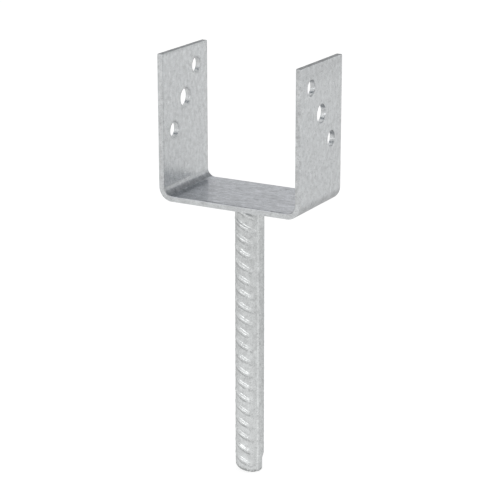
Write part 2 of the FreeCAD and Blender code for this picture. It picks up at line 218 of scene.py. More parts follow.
def strip_sizes(settings):
    """Sizes of the flat strip and of its bends, and the place and radius of each hole in it."""
    outer_bend = settings.bend_inner + STRIP_THICK
    mid_bend = settings.bend_inner + STRIP_THICK / 2
    half_seat = SADDLE_HIGH.x - outer_bend
    bent = mid_bend * math.pi / 2
    leg_start = half_seat + bent
    half_long = leg_start + SADDLE_HIGH.z - outer_bend
    holes = []
    for side in (-1, 1):
        for mount in MOUNTS.values():
            x, y, z = mount["pos_m"]
            # The through bolt's place is midway between the legs, and it has a hole in each.
            if mount["kind"] == "bore" and x * side >= 0:
                along = side * (leg_start + z - outer_bend)
                holes.append((along, y, mount["dims"]["r_mm"] * MM))
    return {
        "outer_bend": outer_bend,
        "mid_bend": mid_bend,
        "half_seat": half_seat,
        "leg_start": leg_start,
        "half_long": half_long,
        "half_wide": SADDLE_HIGH.y,
        "corner": settings.corner_round,
        "holes": holes,
    }


def bend_strip(flat, strip):
    """Where points of the flat strip lie once it is bent. Rows of flat are along, across and depth.

    Depth runs through the strip, from 0 on its outer face, which becomes the underside, to its thickness.
    """
    along, across, depth = flat.T
    run = np.abs(along)
    turn = np.clip((run - strip["half_seat"]) / strip["mid_bend"], 0, math.pi / 2)
    rise = np.clip(run - strip["leg_start"], 0, None)
    reach = strip["outer_bend"] - depth
    x = np.sign(along) * (np.minimum(run, strip["half_seat"]) + reach * np.sin(turn))
    z = strip["outer_bend"] - reach * np.cos(turn) + rise
    return np.stack([x, across, z], axis=1)


def stations(strip, step):
    """Places along the strip where the mesh has a row of points, closer together in the bends."""
    corner_start = strip["half_long"] - strip["corner"]
    stretches = [
        (0, strip["half_seat"], step),
        (strip["half_seat"], strip["leg_start"], 0.8 * step),
        (strip["leg_start"], corner_start, step),
    ]
    places = [0.0]
    for start, end, spacing in stretches:
        places += list(np.linspace(start, end, round((end - start) / spacing) + 1)[1:])
    return np.array([-v for v in reversed(places[1:])] + places)


CORNER_POINTS = 7
LEAST_HOLE_POINTS = 32


def sheet_outline(strip, places, step, inset):
    """The strip's outline, that far inside its edges, as rows of along and across, counter-clockwise."""
    x = strip["half_long"] - strip["corner"]
    y = strip["half_wide"] - strip["corner"]
    across = np.linspace(-y, y, round(2 * y / step) + 1)
    points = []
    corners = [(x, -y, -90), (x, y, 0), (-x, y, 90), (-x, -y, 180)]
    sides = [
        [(x, v) for v in across[1:-1]],
        [(v, y) for v in places[::-1][1:-1]],
        [(-x, v) for v in across[::-1][1:-1]],
        [(v, -y) for v in places[1:-1]],
    ]
    radius = strip["corner"] - inset
    for (cx, cy, start), side in zip(corners, sides):
        for angle in np.radians(np.linspace(start, start + 90, CORNER_POINTS)):
            points.append((cx + radius * math.cos(angle), cy + radius * math.sin(angle)))
        middle = math.radians(start + 90)
        points += [(px + radius * math.cos(middle), py + radius * math.sin(middle)) for px, py in side]
    return np.array(points)


def hole_outline(hole, count, inset):
    """A hole's rim, that far outside the hole, clockwise, so that the metal is on its left."""
    along, across, radius = hole
    angles = -np.linspace(0, 2 * math.pi, count, endpoint=False)
    reach = radius + inset
    return np.stack([along + reach * np.cos(angles), across + reach * np.sin(angles)], axis=1)


def edge_profile(round_over, steps=4, wall_steps=3, margin=0.25 * MM):
    """Inset and depth of the rings that lead from the inner face over the edge to the outer face."""
    angles = np.linspace(0, math.pi / 2, steps + 1)
    arc = [(round_over * (1 - math.sin(a)), round_over * (1 - math.cos(a))) for a in angles]
    upper = [(inset, STRIP_THICK - drop) for inset, drop in arc]
    wall = np.linspace(STRIP_THICK - round_over, round_over, wall_steps + 1)[1:-1]
    lower = [(inset, drop) for inset, drop in reversed(arc)]
    rim = round_over + margin
    return [(rim, STRIP_THICK)] + upper + [(0.0, d) for d in wall] + lower + [(rim, 0.0)]


def flat_strip(settings, strip):
    """Points and faces of the drilled strip before it is bent."""
    step = settings.mesh_step
    places = stations(strip, step)
    outlines = [(lambda inset: sheet_outline(strip, places, step, inset), settings.edge_round)]
    for hole in strip["holes"]:
        count = max(LEAST_HOLE_POINTS, round(2 * math.pi * hole[2] / (0.8 * step)))
        outlines.append((lambda inset, h=hole, n=count: hole_outline(h, n, inset), settings.rim_round))

    points, faces, first_rings, last_rings = [], [], [], []
    for outline, round_over in outlines:
        profile = edge_profile(round_over)
        rings = []
        for inset, depth in profile:
            ring = outline(inset)
            rings.append(range(len(points), len(points) + len(ring)))
            points += [(x, y, depth) for x, y in ring]
        count = len(rings[0])
        for upper, lower in zip(rings, rings[1:]):
            for i in range(count):
                j = (i + 1) % count
                faces.append((upper[i], lower[i], lower[j], upper[j]))
        first_rings.append(rings[0])
        last_rings.append(rings[-1])

    # The flat faces: a grid of points between the rings, joined to them by triangles.
    half_wide = strip["half_wide"]
    across = np.linspace(-half_wide, half_wide, round(2 * half_wide / step) + 1)
    grid = np.array([(x, y) for x in places for y in across])
    grid = grid[edge_distance(grid, strip) > settings.edge_round + 0.8 * step]
    outer_start = len(points)
    points += [(x, y, STRIP_THICK) for x, y in grid]
    under_start = len(points)
    points += [(x, y, 0.0) for x, y in grid]

    rim = [i for ring in first_rings for i in ring]
    under_rim = [i for ring in last_rings for i in ring]
    flat = [Vector(points[i][:2]) / MM for i in rim] + [Vector(p) / MM for p in grid]
    edges, start = [], 0
    for ring in first_rings:
        count = len(ring)
        edges += [(start + i, start + (i + 1) % count) for i in range(count)]
        start += count
    ring_of = [place for place, ring in enumerate(first_rings) for _ in ring] + [0] * len(grid)
    inside_outlines = 1
    _, _, triangles, sources, _, _ = delaunay_2d_cdt(flat, edges, [], inside_outlines, 1e-6)
    upper = rim + list(range(outer_start, outer_start + len(grid)))
    under = under_rim + list(range(under_start, under_start + len(grid)))
    for triangle in triangles:
        a, b, c = (sources[i][0] for i in triangle)
        across_hole = 0 < ring_of[a] == ring_of[b] == ring_of[c]
        if across_hole:
            continue
        if (flat[b] - flat[a]).cross(flat[c] - flat[a]) < 0:
            b, c = c, b
        faces.append((upper[a], upper[b], upper[c]))
        faces.append((under[a], under[c], under[b]))
    return np.array(points), faces


def edge_distance(flat, strip):
    """How far points of the flat strip are from its nearest edge or rim, and 0 on the walls."""
    along, across = flat[:, 0], flat[:, 1]
    nearest = np.minimum(strip["half_long"] - np.abs(along), strip["half_wide"] - np.abs(across))
    for x, y, radius in strip["holes"]:
        nearest = np.minimum(nearest, np.hypot(along - x, across - y) - radius)
    return np.clip(nearest, 0, None)


def cut_share(flat, strip):
    """1 on the ends of the strip, where it was sheared to length, and 0 elsewhere."""
    nearest = strip["half_long"] - np.abs(flat[:, 0])
    return np.clip(1 - nearest / (0.3 * MM), 0, 1)


def store(mesh, name, kind, values):
    """Keeps one value for each point of the mesh, for its material to read."""
    attribute = mesh.attributes.new(name, kind, "POINT")
    key = "vector" if kind == "FLOAT_VECTOR" else "value"
    attribute.data.foreach_set(key, np.asarray(values, np.float32).ravel())


def wear_in(mesh, depth, wave):
    """Moves each point inwards by a gentle noise, so that no face stays dead flat."""
    places = np.array([v.co for v in mesh.vertices])
    normals = np.array([v.vector for v in mesh.vertex_normals])
    levels = np.array([0.5 + 0.5 * noise.noise(Vector(p) / wave) for p in places])
    places -= normals * (depth * np.clip(levels, 0, 1))[:, None]
    mesh.vertices.foreach_set("co", places.astype(np.float32).ravel())
    mesh.update()


def finish_piece(name, mesh, material, node):
    """Makes the piece's object, gives it its finish and lets it stand for its CAD node."""
    mesh.name = name
    piece = bpy.data.objects.new(name, mesh)
    bpy.context.scene.collection.objects.link(piece)
    if material is not None:
        mesh.materials.clear()
        mesh.materials.append(material)
    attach(piece, BODY)
    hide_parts(node)
    return piece


class POSTBASE_OT_saddle(bpy.types.Operator):
    """Builds the saddle: a drilled strip bent into a U"""

    bl_idname = "post_base.saddle"
    bl_label = "Saddle"

    def execute(self, context):
        settings = context.scene.post_base_saddle
        strip = strip_sizes(settings)
        flat, faces = flat_strip(settings, strip)
        mesh = bpy.data.meshes.new("saddle")
        mesh.from_pydata(bend_strip(flat, strip), [], faces)
        mesh.shade_smooth()
        store(mesh, "flat_place", "FLOAT_VECTOR", flat)
        store(mesh, "edge_distance", "FLOAT", edge_distance(flat, strip))
        store(mesh, "cut", "FLOAT", cut_share(flat, strip))
        wear_in(mesh, settings.unevenness, settings.wave)
        piece = finish_piece("bent_saddle", mesh, strip_zinc(context.scene.post_base_zinc, strip), "saddle")
        return {"FINISHED"}


# Anchor bar: a tube of points whose radius follows the rolled ribs.

BAR_INPUTS = list(BarSettings.__annotations__)
WHOLE_INPUTS = ("rib_count", "around", "along")

# Rows of points in the closed top, over the rolled edge and across the sheared face.
CAP_ROWS, ROLL_ROWS, FACE_ROWS = 3, 7, 8

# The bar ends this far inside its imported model. Its lumps are drawn with this seed.
CAD_MARGIN = 0.05 * MM
BAR_SEED = 2.0

# Rolling and zinc leave lumps about this far apart, which raise a rib's crest or shift it along the bar.
CREST_WAVE, CREST_DEPTH = 7 * MM, 0.35 * MM
WAVER_WAVE, WAVER_DEPTH = 5 * MM, 0.9 * MM
DENT_WAVE, SMALL_DENT_WAVE = 4 * MM, 1.6 * MM

# Points nearer than this are one, which closes the grid along the bar and at both ends.
SEAM_GAP = 0.005 * MM

# The shear pressed the last stretch of the bar in, towards this turn about the axis.
SQUEEZE_START, SQUEEZE_FULL = 12 * MM, 7 * MM
SQUEEZE_TURN = math.radians(22)


def bar_tree():
    """Node tree that rolls a grid into the ribbed bar. Its inputs have the names of the bar's settings.

    The bar is a tube of points. Each one's distance from the axis follows the highest of the plain bar, the
    nearest crescent rib and the ribs along the bar, with the joins between them rounded.
    """
    tree = bpy.data.node_groups.new("ribbed_bar", "GeometryNodeTree")
    inputs = {"Geometry": "Geometry"}
    inputs |= {name: "Int" if name in WHOLE_INPUTS else "Float" for name in BAR_INPUTS}
    inputs |= {"bar_length": "Float", "seed": "Float", "Material": "Material"}
    for name, kind in inputs.items():
        tree.interface.new_socket(name, in_out="INPUT", socket_type="NodeSocket" + kind)
    tree.interface.new_socket("Geometry", in_out="OUTPUT", socket_type="NodeSocketGeometry")
    add = partial(add_node, tree)
    size = tree.nodes.new("NodeGroupInput").outputs

    # The grid's own place gives the turn about the bar and the row of points down it.
    rows = add("ADD", [size["along"], CAP_ROWS + ROLL_ROWS + FACE_ROWS])
    grid_inputs = [1.0, 1.0, add("ADD", [size["around"], 1]), add("ADD", [rows, 1])]
    grid = add("GeometryNodeMeshGrid", grid_inputs)
    across = add("ShaderNodeSeparateXYZ", [add("GeometryNodeInputPosition")]).node.outputs
    turn = add("MULTIPLY", [add("ADD", [across["X"], 0.5]), 2 * math.pi])
    row = add("MULTIPLY", [add("SUBTRACT", [0.5, across["Y"]]), rows])

    def share(first, last):
        """Goes from 0 to 1 between two rows and stays there."""
        return add(MAP_RANGE, [row, first, last, 0.0, 1.0])

    def at(reach, down):
        """The place that far from the bar's axis and that far down it."""
        x = add("MULTIPLY", [reach, add("COSINE", [turn])])
        y = add("MULTIPLY", [reach, add("SINE", [turn])])
        return add("ShaderNodeCombineXYZ", [x, y, add("MULTIPLY", [down, -1.0])])

    body_end = add("ADD", [size["along"], CAP_ROWS])
    roll_end = add("ADD", [body_end, ROLL_ROWS])
    cap = share(0, CAP_ROWS)
    body = share(CAP_ROWS, body_end)
    roll = share(body_end, roll_end)
    face = share(roll_end, rows)

    # The turn is measured from the middle of the front row. The back row repeats it after half a turn.
    from_row = add("ADD", [add("ADD", [turn, math.pi / 2]), size["row_turn"]])
    cosine = add("COSINE", [from_row])
    sine = add("SINE", [from_row])
    side = add("SIGN", [cosine])
    facing = add("ABSOLUTE", [cosine])
    aside = add("MULTIPLY", [sine, side])

    # Down the side: the sheared face slants across the bar, and its edge is rolled over most on the left.
    radius = size["core_radius"]
    slant = add("TANGENT", [size["shear_tilt"]])
    rolled = add("MULTIPLY", [size["shear_round"], add("MULTIPLY_ADD", [sine, -0.5, 1.0])])
    drop = add("MULTIPLY_ADD", [add("MULTIPLY", [slant, radius]), sine, size["bar_length"]])
    depth = add("MULTIPLY", [body, add("SUBTRACT", [drop, rolled])])
    around = at(radius, depth)

    def lumps(wave, detail, seed_step):
        """Noise about 0, with its lumps that far apart on the bar."""
        place = add(VECTOR_MATH, [around, (1 / wave,) * 3], operation="MULTIPLY")
        seed = add("ADD", [size["seed"], seed_step])
        inputs = {"Vector": place, "W": seed, "Scale": 1.0, "Detail": detail}
        return add("SUBTRACT", [add(NOISE, inputs, noise_dimensions="4D"), 0.5])

    # A crescent's crest is a ring about an axis set off towards the row, tilted, and seen along the bar.
    crest = add("SUBTRACT", [add("ADD", [radius, size["rib_height"]]), size["rib_shift"]])
    crest = add("MULTIPLY_ADD", [lumps(CREST_WAVE, 1.0, 3.0), CREST_DEPTH, crest])
    steepness = add("COSINE", [size["rib_tilt"]])
    steep_aside = add("POWER", [add("DIVIDE", [aside, steepness]), 2.0])
    stretched = add("ADD", [add("POWER", [facing, 2.0]), steep_aside])
    shift = size["rib_shift"]
    span = add("SUBTRACT", [add("POWER", [crest, 2.0]), add("POWER", [shift, 2.0])])
    pull = add("MULTIPLY", [facing, shift])
    root = add("SQRT", [add("MULTIPLY_ADD", [stretched, span, add("POWER", [pull, 2.0])])])
    crest_radius = add("DIVIDE", [add("ADD", [pull, root]), stretched])

    # Distance to the nearest crescent, square to its flanks.
    lower = add("MULTIPLY", [add("SUBTRACT", [1.0, side]), add("MULTIPLY", [size["rib_pitch"], 0.25])])
    fall = add("MULTIPLY", [add("MULTIPLY", [crest_radius, add("TANGENT", [size["rib_tilt"]])]), aside])
    waver = add("MULTIPLY", [lumps(WAVER_WAVE, 1.0, 11.0), WAVER_DEPTH])
    down = add("SUBTRACT", [add("SUBTRACT", [add("SUBTRACT", [depth, size["first_rib"]]), lower]), fall])
    steps = add("DIVIDE", [add("ADD", [down, waver]), size["rib_pitch"]])
    last = add("SUBTRACT", [size["rib_count"], 1.0])
    nearest = add("MAXIMUM", [add("MINIMUM", [add("ROUND", [steps]), last]), 0.0])
    gap = add("MULTIPLY", [add("ABSOLUTE", [add("SUBTRACT", [steps, nearest])]), size["rib_pitch"]])
    gap = add("MULTIPLY", [gap, steepness])
    crown = size["rib_crown"]
    over_crown = add("SQRT", [add("ADD", [add("POWER", [gap, 2.0]), add("POWER", [crown, 2.0])])])
    flank = add("MULTIPLY", [add("SUBTRACT", [over_crown, crown]), add("TANGENT", [size["rib_flank"]])])
    rib_radius = add("SUBTRACT", [crest_radius, flank])
    ribbed = add("SMOOTH_MAX", [radius, rib_radius, size["root_round"]])

    # The two ribs along the bar lie between the rows.
    half_crown = add("MULTIPLY", [size["seam_crown"], 0.5])
    beside = add("SUBTRACT", [add("MULTIPLY", [radius, facing]), half_crown])
    seam_run = add("MULTIPLY", [add("SUBTRACT", [size["seam_foot"], size["seam_crown"]]), 0.5])
    seam_slope = add("DIVIDE", [add("MULTIPLY", [size["seam_height"], 2.0]), seam_run])
    seam_drop = add("MULTIPLY", [add("SMOOTH_MAX", [beside, 0.0, size["seam_round"]]), seam_slope])
    seam = add("SUBTRACT", [add("ADD", [radius, size["seam_height"]]), seam_drop])
    surface = add("SMOOTH_MAX", [ribbed, seam, size["seam_round"]])
    dents = lumps(DENT_WAVE, 2.0, 0.0)
    dents = add("ADD", [dents, add("MULTIPLY", [lumps(SMALL_DENT_WAVE, 1.0, 5.0), 0.5])])
    surface = add("MULTIPLY_ADD", [dents, size["unevenness"], surface])

    # The shear squeezed the end on the right, and the rib along the bar is pressed flat there.
    squeeze_start = add("SUBTRACT", [size["bar_length"], SQUEEZE_START])
    squeeze_full = add("SUBTRACT", [size["bar_length"], SQUEEZE_FULL])
    near_end = add(MAP_RANGE, [depth, squeeze_start, squeeze_full, 0.0, 1.0])
    toward = add("MAXIMUM", [add("COSINE", [add("SUBTRACT", [turn, SQUEEZE_TURN])]), 0.0])
    squeeze = add("MULTIPLY", [add("POWER", [toward, 2.0]), near_end])
    squeeze = add("MULTIPLY", [squeeze, size["shear_squeeze"]])

    # Over the rolled edge the ribs fade, and the radius runs in to the middle of the sheared face.
    angle = add("MULTIPLY", [roll, math.pi / 2])
    fade = add("COSINE", [angle])
    side_radius = add("MULTIPLY_ADD", [add("SUBTRACT", [surface, radius]), fade, radius])
    rolled_in = add("MULTIPLY", [rolled, add("SUBTRACT", [1.0, fade])])
    reach = add("SUBTRACT", [add("MULTIPLY", [side_radius, cap]), add("ADD", [rolled_in, squeeze])])
    reach = add("MULTIPLY", [reach, add("SUBTRACT", [1.0, face])])
    lift = add("MULTIPLY", [rolled, add("SUBTRACT", [1.0, add("SINE", [angle])])])
    face_depth = add("MULTIPLY_ADD", [add("MULTIPLY", [slant, reach]), sine, size["bar_length"]])
    end_depth = add("SUBTRACT", [face_depth, lift])
    past_body = add("GREATER_THAN", [row, add("ADD", [body_end, 0.5])])
    down = add(MIX, {0: past_body, 2: depth, 3: end_depth})
    place = at(reach, down)

    # Painted shade in the crease under each rib, most on the left, which is also made rough. Round the
    # sheared end the zinc is rough and dark.
    below = add("MULTIPLY", [add("SUBTRACT", [steps, nearest]), size["rib_pitch"]])
    starts = add(MAP_RANGE, [below, 0.4 * MM, 1.4 * MM, 0.0, 1.0])
    ends = add(MAP_RANGE, [below, 1.8 * MM, 2.9 * MM, 1.0, 0.0])
    rib_stands = add("SUBTRACT", [crest_radius, radius])
    raised = add(MAP_RANGE, [rib_stands, 0.0, 0.5 * MM, 0.0, 1.0])
    leftward = add(MAP_RANGE, [aside, -0.4, 0.4, 1.0, 0.5])
    crease = add("MULTIPLY", [add("MULTIPLY", [starts, ends]), add("MULTIPLY", [raised, leftward])])
    rim = share(add("SUBTRACT", [body_end, 4.0]), add("ADD", [body_end, 1.0]))
    rough_part = add("MAXIMUM", [crease, add("MULTIPLY", [rim, 1.6])])

    # Painted shade on the crowns of the ribs along the bar, which are also a little rougher, and a painted
    # highlight line along their flanks, a little smoother there.
    off_flank = add("ABSOLUTE", [add("SUBTRACT", [beside, 0.4 * MM])])
    painted_highlight_line = add(MAP_RANGE, [off_flank, 0.3 * MM, 0.8 * MM, 0.35, 0.0])
    dull = add(MAP_RANGE, [beside, -0.6 * MM, 0.0, 0.14, 0.0])
    rough_part = add("ADD", [rough_part, add("SUBTRACT", [dull, painted_highlight_line])])
    marked = [grid, None, "rough_part", rough_part]
    marked = add("GeometryNodeStoreNamedAttribute", marked, domain="POINT")

    shaped = add("GeometryNodeSetPosition", [marked, None, place])
    closed = add("GeometryNodeMergeByDistance", [shaped, None, SEAM_GAP])
    smooth = add("GeometryNodeSetShadeSmooth", [closed])
    real = add("GeometryNodeRealizeInstances", [smooth])
    finished = add("GeometryNodeSetMaterial", [real, None, size["Material"]])
    add("NodeGroupOutput", [finished])
    return tree


def grow(tree, values):
    """Runs a geometry tree with the named input values and gives the result as a plain mesh."""
    seedling = bpy.data.objects.new("seedling", bpy.data.meshes.new("seedling"))
    bpy.context.scene.collection.objects.link(seedling)
    modifier = seedling.modifiers.new("shape", "NODES")
    modifier.node_group = tree
    sockets = {item.name: item.identifier for item in tree.interface.items_tree if item.in_out == "INPUT"}
    for name, value in values.items():
        modifier[sockets[name]] = value
    grown = seedling.evaluated_get(bpy.context.evaluated_depsgraph_get())
    mesh = bpy.data.meshes.new_from_object(grown)
    seedling.modifiers.remove(modifier)
    bpy.data.objects.remove(seedling)
    return mesh


class POSTBASE_OT_anchor_bar(bpy.types.Operator):
    """Builds the anchor bar with its crescent ribs, its lengthwise ribs and its sheared end"""

    bl_idname = "post_base.anchor_bar"
    bl_label = "Anchor Bar"

    def execute(self, context):
        settings = context.scene.post_base_bar
        values = {name: getattr(settings, name) for name in BAR_INPUTS}
        lowest = settings.core_radius - settings.shear_round / 2
        values["bar_length"] = -BAR_LOW.z - math.tan(settings.shear_tilt) * lowest - CAD_MARGIN
        values["seed"] = BAR_SEED
        values["Material"] = bar_zinc(context.scene.post_base_zinc)
        mesh = grow(bar_tree(), values)
        piece = finish_piece("ribbed_anchor_bar", mesh, None, "anchor_bar")
        return {"FINISHED"}


# Weld: a rippled bead run round the bar under the saddle, and a little way into the bar.

WELD_OVERLAP = 0.6 * MM


def weld_mesh(settings, core_radius):
    """A closed ring of weld metal. Its face bulges, its toes waver, and it is rippled like laid coins."""
    leg_out = WELD_HIGH.x - core_radius
    leg_down = -WELD_LOW.z
    turns = np.linspace(0, 2 * math.pi, settings.around, endpoint=False)
    shares = np.linspace(0, 1, settings.across)
    points = []
    for turn in turns:
        ring = Vector((math.cos(turn), math.sin(turn), 0)) * 2.5
        out = leg_out - settings.waver * (0.5 + 0.5 * noise.noise(ring + Vector((0, 0, 7))))
        down = leg_down - settings.waver * (0.5 + 0.5 * noise.noise(ring + Vector((0, 0, 19))))
        for share in shares:
            phase = settings.ripples * turn / (2 * math.pi) + 1.3 * (share - 0.5) ** 2
            phase += 0.35 * noise.noise(ring * 2 + Vector((0, 0, 3)))
            crease = 1 - math.sqrt(abs(math.sin(math.pi * phase)))
            stand = 4 * share * (1 - share)
            dip = settings.ripple_depth * crease * min(1, 2 * stand)
            push = (settings.bulge * stand - dip) / math.sqrt(2)
            reach = core_radius + out * share + push
            points.append((reach * math.cos(turn), reach * math.sin(turn), -down * (1 - share) - push))
        inner = core_radius - WELD_OVERLAP
        points.append((inner * math.cos(turn), inner * math.sin(turn), 0))
        points.append((inner * math.cos(turn), inner * math.sin(turn), -down))
    count = settings.across + 2
    faces = []
    for i in range(settings.around):
        for j in range(count):
            a, b = i * count, (i + 1) % settings.around * count
            k = (j + 1) % count
            faces.append((a + j, b + j, b + k, a + k))
    mesh = bpy.data.meshes.new("weld")
    mesh.from_pydata(points, [], faces)
    mesh.shade_smooth()
    return mesh


class POSTBASE_OT_weld_bead(bpy.types.Operator):
    """Builds the weld bead round the top of the anchor bar"""

    bl_idname = "post_base.weld_bead"
    bl_label = "Weld Bead"

    def execute(self, context):
        scene = context.scene
        mesh = weld_mesh(scene.post_base_weld, scene.post_base_bar.core_radius)
        piece = finish_piece("rippled_weld_bead", mesh, weld_zinc(scene.post_base_zinc), "weld_bead")
        return {"FINISHED"}


# Finishes.


def new_material(name):
    """A bare material, and the function that adds nodes to it."""
    material = bpy.data.materials.new(name)
    return material, node_adder(material)


# Painted shade at the rims: the reflection turns darker, not brighter, towards grazing angles.
RIM_SHADE_TINT = (0.66, 0.66, 0.66, 1.0)

# Roughness of the bright crystals and of the dull ones, and how wide the finest of them are.
BRIGHT_ZINC, DULL_ZINC = 0.20, 0.60
FINE_CRYSTAL = 0.45 * MM

# Height of the lumps in the zinc, and the widths of its marks: drag lines on the strip, runs on the seat,
# spots on a leg's front edge, and drained streaks and specks on the bar.
LUMP_HEIGHT = 0.03 * MM
DRAG_LINE, RUN, SPOT = 1.3 * MM, 3.0 * MM, 2.4 * MM
BAR_STREAK, BAR_SPECK, WELD_STREAK = 1.6 * MM, 1.3 * MM, 1.2 * MM


def zinc_coat(add, settings, place, tone, streaks, streak_depth, rough_part=0.0):
    """Hot-dip galvanised steel: zinc that froze on the steel as a satin metal skin.

    The eye sees a plain grey, clouded in patches a few millimetres wide and flecked by small crystals. Some
    crystals are nearly bright and some are dull, so the skin mirrors softly and hazily at once. It is a
    little lumpy, and rough and dark where the steel under it was cut. The same darkening, given by the last
    argument, also paints shade in creases, in bends and along edges, and below 0 it paints a highlight. The
    crystals are drawn wider than real ones, which are too fine to show.
    """
    patches = add(NOISE, {"Vector": place, "Scale": 1 / settings.patch, "Detail": 4.0})
    crystals = add("ShaderNodeTexVoronoi", {"Vector": place, "Scale": 1 / settings.crystal}, out=1)
    fleck = add("ShaderNodeSeparateColor", [crystals]).node.outputs
    grain = add(NOISE, {"Vector": place, "Scale": 1 / settings.grain, "Detail": 2.0})

    level = add("MULTIPLY_ADD", [add("SUBTRACT", [patches, 0.5]), 0.5, 1.0])
    level = add("MULTIPLY_ADD", [add("SUBTRACT", [fleck["Red"], 0.5]), 0.06, level])
    level = add("MULTIPLY_ADD", [add("SUBTRACT", [grain, 0.5]), 0.30, level])
    level = add("MULTIPLY_ADD", [add("SUBTRACT", [streaks, 0.5]), streak_depth, level])
    level = add("MULTIPLY_ADD", [add("GREATER_THAN", [fleck["Blue"], 0.94]), -0.14, level])
    # Painted shade: the last argument darkens the zinc in creases, bends and along edges; below 0 it paints
    # a highlight.
    level = add("MULTIPLY_ADD", [rough_part, -0.32, level])
    tinted = add(VECTOR_MATH, {0: tone, "Scale": level}, operation="SCALE")

    # Bright and dull crystals, too fine to tell apart.
    fine = add(NOISE, {"Vector": place, "Scale": 1 / FINE_CRYSTAL, "Detail": 0.0})
    roughness = add(MAP_RANGE, [fine, 0.46, 0.58, BRIGHT_ZINC, DULL_ZINC])
    roughness = add("MULTIPLY_ADD", [rough_part, 0.2, roughness])
    fine_lumps = add("MULTIPLY_ADD", [grain, 0.5, add("MULTIPLY", [streaks, 0.8])])
    height = add("MULTIPLY_ADD", [patches, 2.0, fine_lumps])
    bump = add("ShaderNodeBump", {"Strength": 1.0, "Distance": LUMP_HEIGHT, "Height": height})
    # The grazing tint paints shade along the rims.
    look = {"Base Color": tinted, "Metallic": 1.0, "Roughness": roughness, "Specular Tint": RIM_SHADE_TINT}
    add("ShaderNodeOutputMaterial", [add("ShaderNodeBsdfPrincipled", look | {"Normal": bump})])


def strip_zinc(settings, strip):
    """Galvanised rolled strip: drag lines run along the strip. The seat is darker, partly as painted shade,
    and the bends carry painted shade.

    It reads flat_place, a point's place on the strip before it was bent: along, across and through it.
    """
    material, add = new_material("hot_dip_galvanised_strip")
    place = add("ShaderNodeAttribute", attribute_name="flat_place", out=1)
    cut = add("ShaderNodeAttribute", attribute_name="cut", out=2)
    parts = add("ShaderNodeSeparateXYZ", [place]).node.outputs
    run = add("ABSOLUTE", [parts["X"]])
    half_seat, leg_start = strip["half_seat"], strip["leg_start"]

    def between(value, start, full, fade, end):
        """1 from full to fade, and 0 before start and past end."""
        rise = add(MAP_RANGE, [value, start, full, 0.0, 1.0])
        fall = add(MAP_RANGE, [value, fade, end, 1.0, 0.0])
        return add("MULTIPLY", [rise, fall])

    # Fine drag lines on the legs, and broader runs where the zinc pooled on the seat.
    lines = add("ShaderNodeMapping", {"Vector": place, "Scale": (0.13, 1.0, 1.0)})
    lines = add(NOISE, {"Vector": lines, "Scale": 1 / DRAG_LINE, "Detail": 2.0})
    runs = add("ShaderNodeMapping", {"Vector": place, "Scale": (0.4, 1.0, 1.0)})
    runs = {"Vector": runs, "Scale": 1 / RUN, "Detail": 3.0, "Distortion": 0.8}
    runs = add(NOISE, runs)
    inside = add("GREATER_THAN", [parts["Z"], 0.9 * STRIP_THICK])
    seat = add("MULTIPLY", [add(MAP_RANGE, [run, half_seat, leg_start, 1.0, 0.0]), inside])
    streaks = add(MIX, {0: seat, 2: lines, 3: runs})
    streak_depth = add(MIX, {0: seat, 2: 0.24, 3: 0.9})

    # Painted shade in the inner bends, darkest in their middle, where the zinc is also made rougher.
    bend = between(run, half_seat + 1.5 * MM, half_seat + 4 * MM, leg_start - 2 * MM, leg_start)
    middle_start, middle_end = half_seat + 2 * MM, leg_start - 3.5 * MM
    middle = between(run, middle_start, middle_start + 2.5 * MM, middle_end - 1.5 * MM, middle_end)
    bend = add("MULTIPLY", [add("MULTIPLY_ADD", [bend, 0.8, add("MULTIPLY", [middle, 0.4])]), inside])
    rough_part = add("MAXIMUM", [add("MULTIPLY", [cut, 1.3]), bend])

    # Painted shade: a dark line just inside the edges of the inner face, darkest along the front of the
    # seat, and also rougher.
    edge = add("ShaderNodeAttribute", attribute_name="edge_distance", out=2)
    line = add("MULTIPLY", [between(edge, 0.0, 0.3 * MM, 0.8 * MM, 1.8 * MM), inside])
    seat_line = between(parts["X"], -34 * MM, -12 * MM, half_seat - 6 * MM, half_seat)
    seat_line = add("MULTIPLY", [seat_line, 1.1])
    near_front = add("LESS_THAN", [parts["Y"], -0.8 * strip["half_wide"]])
    line = add("MULTIPLY", [line, add("MULTIPLY_ADD", [seat_line, near_front, 0.3])])

    # Spots on the right leg's front edge, and the right leg darker and rougher towards its top end.
    front = add("LESS_THAN", [parts["Y"], -strip["half_wide"] + 0.3 * MM])
    spots = add(NOISE, {"Vector": place, "Scale": 1 / SPOT, "Detail": 2.0})
    spots = add(MAP_RANGE, [spots, 0.48, 0.62, 0.0, 0.5])
    spots = add("MULTIPLY", [spots, add("MULTIPLY", [add("GREATER_THAN", [parts["X"], leg_start]), front])])
    top_end = [parts["X"], strip["half_long"] - 16 * MM, strip["half_long"] - 5 * MM, 0.0, 0.22]
    top_end = add(MAP_RANGE, top_end)
    rough_part = add("MAXIMUM", [rough_part, add("ADD", [line, add("ADD", [spots, top_end])])])

    # The seat's darker tone is partly painted shade.
    tones = {0: seat, 6: settings.strip_tone, 7: settings.seat_tone}
    tone = add(MIX, tones, out=2, data_type="RGBA")
    zinc_coat(add, settings, place, tone, streaks, streak_depth, rough_part)
    return material


